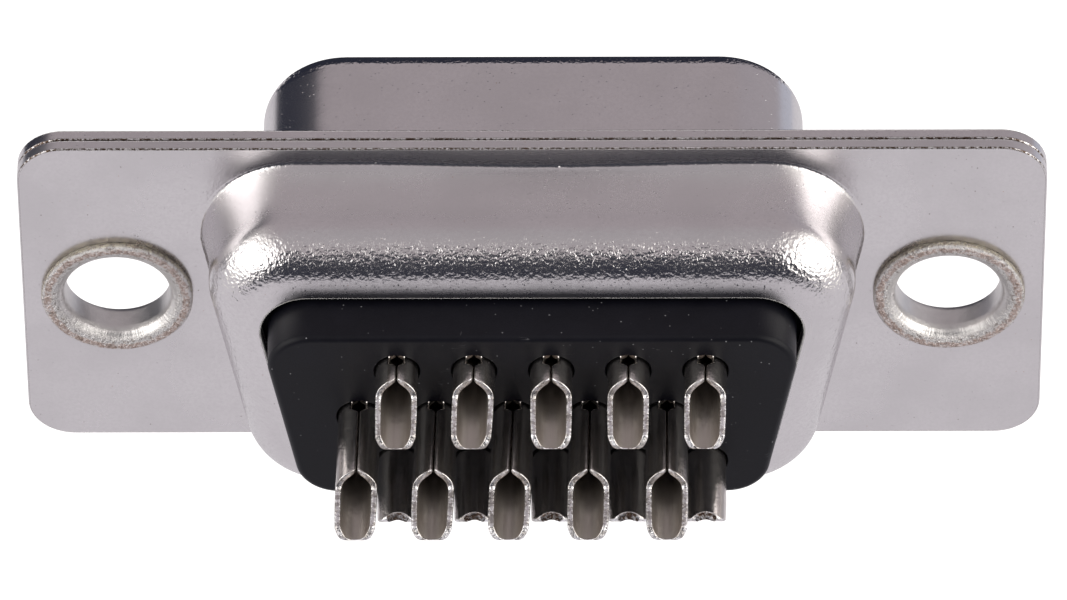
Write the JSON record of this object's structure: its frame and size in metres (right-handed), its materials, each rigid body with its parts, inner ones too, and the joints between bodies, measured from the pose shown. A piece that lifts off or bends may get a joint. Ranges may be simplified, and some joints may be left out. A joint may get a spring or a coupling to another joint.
{
  "type": "d-sub connector",
  "caption": "High-density D-shaped socket connector with solder cups, a plated steel shell pair, black mouldings and a flange with two eyeleted mounting holes.",
  "frame": {"origin": "midway between the two mounting holes, on the front face of the flange", "axes": "+X along the flange, to the right seen from the solder side; +Y the mating direction, out of the front; +Z towards the wide side of the D"},
  "size_m": [0.0308, 0.0162, 0.0126],
  "materials": {
    "front_shell": "bright nickel plate",
    "rear_shell": "bright nickel plate",
    "insulator": "moulded, slightly satin",
    "eyelet": "nickel plate over copper, worn through on the rolled lip",
    "contact": "bright tin plate"
  },
  "bodies": {
    "root": {"front_shell": "front_shell", "rear_shell": "rear_shell", "front_insulator": "insulator", "rear_insulator": "insulator", "eyelets": "eyelet", "contact_1": "contact", "contact_2": "contact", "contact_3": "contact", "contact_4": "contact", "contact_5": "contact", "contact_6": "contact", "contact_7": "contact", "contact_8": "contact", "contact_9": "contact", "contact_10": "contact", "contact_11": "contact", "contact_12": "contact", "contact_13": "contact", "contact_14": "contact", "contact_15": "contact"}
  },
  "joints": []
}
